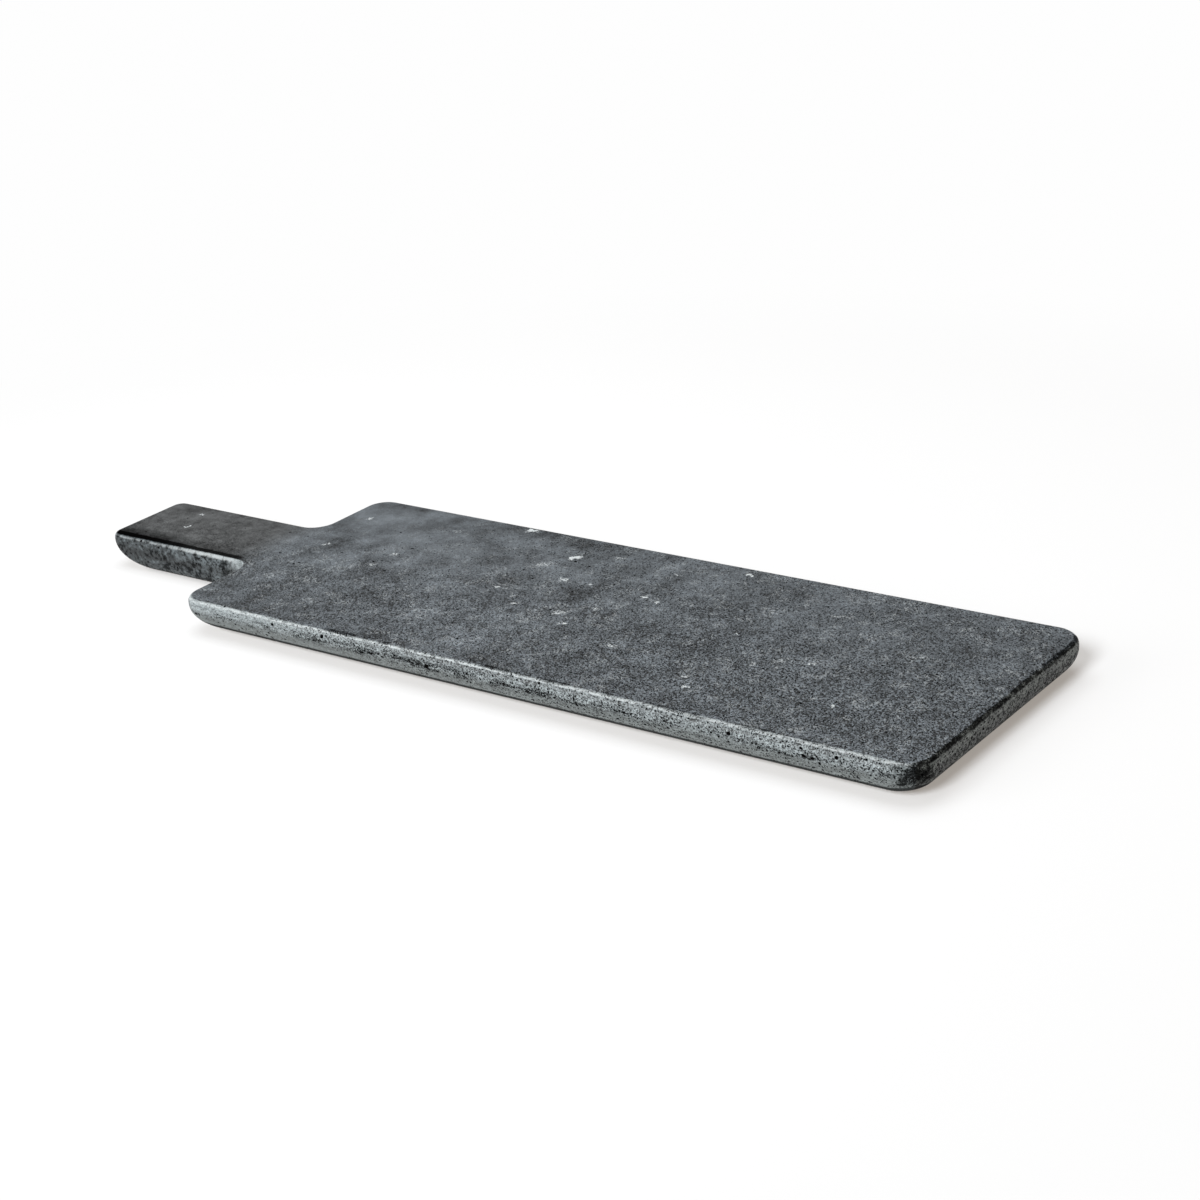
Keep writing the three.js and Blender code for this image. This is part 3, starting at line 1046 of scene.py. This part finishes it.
def paint_pit():
    """The dark inside of the stone's pits."""
    pit = Finish("pit_wall")
    grain = pit.noise(pit.object_millimetres(), PIT_GRAIN_SIZE, 3.0, 0.7)
    pit.set("Base Color", pit.tint(PIT_AND_PAINTED_SHADE_COLOUR, 2 + grain * 8.0))
    pit.set("Roughness", 0.8 + grain * 0.2)
    pit.set("Specular IOR Level", 0.05)
    return pit.material


RUBBER_COLOUR = (0.016, 0.017, 0.018, 1)
DUSTY_RUBBER_COLOUR = (0.034, 0.035, 0.037, 1)
RUBBER_RELIEF = 0.03 * MM

# Sizes of the rubber's textures, in millimetres
RUBBER_GRAIN_SIZE = 0.25
DUST_SIZE = 2.0


def paint_rubber():
    """Matt dark grey rubber with a faint moulding texture."""
    rubber = Finish("bumper_rubber")
    place = rubber.object_millimetres()
    grain = rubber.noise(place, RUBBER_GRAIN_SIZE, 2.0, 0.6)
    dust = rubber.noise(place, DUST_SIZE, 3.0, 0.6)
    rubber.set("Base Color", rubber.blend(dust, RUBBER_COLOUR, DUSTY_RUBBER_COLOUR))
    rubber.set("Roughness", 0.62 + grain * 0.2)
    rubber.bump(grain, 0.3, RUBBER_RELIEF)
    return rubber.material


# Camera, floor and light

LENS = 70.57
SENSOR = 36
CAMERA_AZIMUTH = math.radians(38.652)
CAMERA_ELEVATION = math.radians(22.334)
CAMERA_DISTANCE = 1112.3 * MM
CAMERA_ROLL = math.radians(-5.265)
CAMERA_TARGET = Vector((11.69 * MM, 43.93 * MM, UNDERSIDE_Z))


def outward(azimuth, elevation):
    """A direction from the board. Azimuth 0 is in front of it, and a quarter turn beyond its far end."""
    level = math.cos(elevation)
    return Vector((math.sin(azimuth) * level, -math.cos(azimuth) * level, math.sin(elevation)))


def make_camera():
    """The photo's camera, as fitted to the board's outline."""
    back = outward(CAMERA_AZIMUTH, CAMERA_ELEVATION)
    level_right = Vector((0, 0, 1)).cross(back).normalized()
    level_up = back.cross(level_right)
    right = level_right * math.cos(CAMERA_ROLL) + level_up * math.sin(CAMERA_ROLL)
    up = level_up * math.cos(CAMERA_ROLL) - level_right * math.sin(CAMERA_ROLL)
    data = bpy.data.cameras.new("photo_camera")
    data.lens = LENS
    data.sensor_width = SENSOR
    camera = bpy.data.objects.new("photo_camera", data)
    turn = Matrix((right, up, back)).transposed()
    camera.matrix_world = Matrix.Translation(CAMERA_TARGET + back * CAMERA_DISTANCE) @ turn.to_4x4()
    bpy.context.collection.objects.link(camera)
    bpy.context.scene.camera = camera


# Colours of the table top: in the light that it gives back, in its own faint glow and in the light on it.
# Close to the board its glow is dimmed by ambient occlusion, a painted contact shadow, and far from the
# board it turns into the plain backdrop.
FLOOR_SIZE = 30.0
FLOOR_BOUNCE = (0.42, 0.42, 0.42, 1)
FLOOR_GLOW = (0.33, 0.30, 0.27, 1)
FLOOR_LIT = (0.34, 0.355, 0.37, 1)
CONTACT_REACH = 2 * MM
CONTACT_GLOW = 0.5
CONTACT_SAMPLES = 8
BACKDROP = (0.99, 0.99, 0.99, 1)
BACKDROP_LIMITS = (0.38, 0.6)


def make_floor():
    """A white table top. The camera sees it as plain white, with the board's shadow on it."""
    floor = add_piece("table_top", bpy.ops.mesh.primitive_plane_add, size=FLOOR_SIZE)
    leave_edit_mode()
    paint = Finish("white_table")
    seen = paint.rays("Is Camera Ray", "Is Glossy Ray", "Is Transmission Ray")
    matt = paint.add("ShaderNodeBsdfDiffuse", {}, {"Color": paint.blend(seen, FLOOR_BOUNCE, FLOOR_LIT)})
    clear = paint.add(
        "ShaderNodeAmbientOcclusion", {"samples": CONTACT_SAMPLES}, {"Distance": CONTACT_REACH}, output="AO",
    )
    glow_strength = seen * (CONTACT_GLOW + clear * (1 - CONTACT_GLOW))
    glow = paint.add("ShaderNodeEmission", {}, {"Color": FLOOR_GLOW, "Strength": glow_strength})
    near = paint.add("ShaderNodeAddShader", {}, {0: matt, 1: glow})
    white = paint.add("ShaderNodeEmission", {}, {"Color": BACKDROP, "Strength": 1.0})
    away = paint.length(paint.add("ShaderNodeTexCoord", output="Object"))
    paint.show(paint.mixed_shader(paint.fade(away, *BACKDROP_LIMITS) * seen, near, white))
    floor.data.materials.append(paint.material)
    return floor


# Strength of the light from all round, and the heights between which reflections turn white
AMBIENT = 0.25
HORIZON_LIMITS = (0.2, 0.02)


def make_world():
    """Even light from all round. The camera sees white, and so do reflections near the horizon."""
    world = bpy.data.worlds.new("studio")
    bpy.context.scene.world = world
    world.use_nodes = True
    nodes = Nodes(world.node_tree)
    direction = nodes.add("ShaderNodeTexCoord", output="Generated")
    horizon = nodes.fade(nodes.split(direction)[2], *HORIZON_LIMITS)
    reflected = nodes.rays("Is Glossy Ray", "Is Transmission Ray") * horizon
    white = nodes.most(nodes.rays("Is Camera Ray"), reflected)
    background = world.node_tree.nodes["Background"]
    background.inputs["Color"].default_value = (1, 1, 1, 1)
    nodes.feed(background.inputs["Strength"], AMBIENT + white * (1 - AMBIENT))


LIGHT_DISTANCE = 1.5

# Softboxes: name, azimuth and elevation in degrees, width, height and power
SOFTBOXES = [
    ("overhead", -70, 84, 1.2, 1.2, 17),
    ("front_fill", -30, 26, 1.1, 0.7, 9),
]

# The table light's azimuth, elevation and spread in degrees, and its strength
TABLE_LIGHT = (8, 33, 18, 5.9)


def hang_lamp(data, azimuth, elevation):
    """Hang a lamp so that it faces the board. The angles are in degrees."""
    back = outward(math.radians(azimuth), math.radians(elevation))
    lamp = bpy.data.objects.new(data.name, data)
    facing = back.to_track_quat("Z", "Y").to_matrix().to_4x4()
    lamp.matrix_world = Matrix.Translation(back * LIGHT_DISTANCE) @ facing
    bpy.context.collection.objects.link(lamp)
    return lamp


def add_softbox(name, azimuth, elevation, width, height, power):
    data = bpy.data.lights.new(name, "AREA")
    data.shape = "RECTANGLE"
    data.size = width
    data.size_y = height
    data.energy = power
    hang_lamp(data, azimuth, elevation)


def add_table_light(floor, azimuth, elevation, spread, strength):
    """An even slanting light that reaches the table top alone."""
    data = bpy.data.lights.new("table_light", "SUN")
    data.angle = math.radians(spread)
    data.energy = strength
    reached = bpy.data.collections.new("reached_by_table_light")
    reached.objects.link(floor)
    hang_lamp(data, azimuth, elevation).light_linking.receiver_collection = reached


def make_lights(floor):
    for softbox in SOFTBOXES:
        add_softbox(*softbox)
    add_table_light(floor, *TABLE_LIGHT)


# The board

stone = paint_stone()
pit = paint_pit()
rubber = paint_rubber()

slab = make_slab()
cut_pits(slab, stone, pit)
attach(slab, "root")
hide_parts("slab")

for node in ("foot_front_left", "foot_front_right", "foot_back_left", "foot_back_right"):
    foot = make_foot(node)
    foot.data.materials.append(rubber)
    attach(foot, "root")
    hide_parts(node)

make_camera()
floor = make_floor()
make_world()
make_lights(floor)

view = bpy.context.scene.view_settings
view.view_transform = "Standard"
